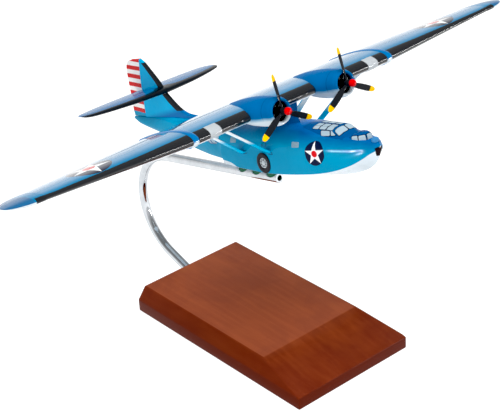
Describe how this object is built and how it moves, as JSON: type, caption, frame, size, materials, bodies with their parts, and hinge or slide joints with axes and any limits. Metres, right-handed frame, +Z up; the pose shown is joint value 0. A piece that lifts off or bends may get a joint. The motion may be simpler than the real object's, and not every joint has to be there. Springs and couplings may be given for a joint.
{
  "type": "desk model of a flying boat",
  "caption": "Display model of a twin-engined parasol-wing amphibian flying boat, held nose-up by a curved chrome arm on a chamfered wooden base.",
  "frame": {"origin": "on the plane the base stands on, at the middle of the bounding box seen from above", "axes": "+X towards the port wing tip, -Y the way the nose points, +Z up"},
  "size_m": [0.4404, 0.2694, 0.2328],
  "materials": {
    "mahogany": "reddish-brown mahogany under satin lacquer",
    "chrome_tube": "polished chrome plate",
    "green_felt": "dark green felt",
    "blue_paint": "gloss blue lacquer, darker on the upper deck and pale grey beneath",
    "silver_paint": "gloss silver-grey lacquer",
    "black_paint": "gloss black lacquer",
    "striped_paint": "gloss red and white stripes"
  },
  "bodies": {
    "model_and_stand": {"base_block": "mahogany", "stand_arm": "chrome_tube", "keel_felt": "green_felt", "hull": "blue_paint", "wing_centre": "blue_paint", "joint_band_port": "blue_paint", "joint_band_starboard": "blue_paint", "wing_outer_port": "blue_paint", "wing_outer_starboard": "blue_paint", "tip_float_port": "blue_paint", "tip_float_starboard": "blue_paint", "wing_pylon": "blue_paint", "fin": "blue_paint", "front_strut_port": "blue_paint", "front_strut_starboard": "blue_paint", "rear_strut_port": "blue_paint", "rear_strut_starboard": "blue_paint", "nacelle_port": "blue_paint", "nacelle_starboard": "blue_paint", "tailplane_port": "blue_paint", "tailplane_starboard": "blue_paint", "bow_turret": "blue_paint", "cockpit_canopy": "blue_paint", "bow_cap": "blue_paint", "landing_lamp_port": "silver_paint", "landing_lamp_starboard": "silver_paint", "waist_blister_port": "silver_paint", "waist_blister_starboard": "silver_paint", "bow_window": "black_paint", "wheel_disc_port": "black_paint", "wheel_disc_starboard": "black_paint", "engine_port": "black_paint", "engine_starboard": "black_paint", "rudder": "striped_paint"},
    "port_propeller": {"propeller_port": "black_paint"},
    "starboard_propeller": {"propeller_starboard": "black_paint"}
  },
  "joints": [
    {"name": "port_propeller_turn", "type": "hinge", "parent": "model_and_stand", "child": "port_propeller", "pos_m": [0.0289, -0.07488, 0.2092], "axis": [0, -0.9489, 0.3156], "continuous": true},
    {"name": "starboard_propeller_turn", "type": "hinge", "parent": "model_and_stand", "child": "starboard_propeller", "pos_m": [-0.0289, -0.07488, 0.2092], "axis": [0, -0.9489, 0.3156], "continuous": true}
  ]
}
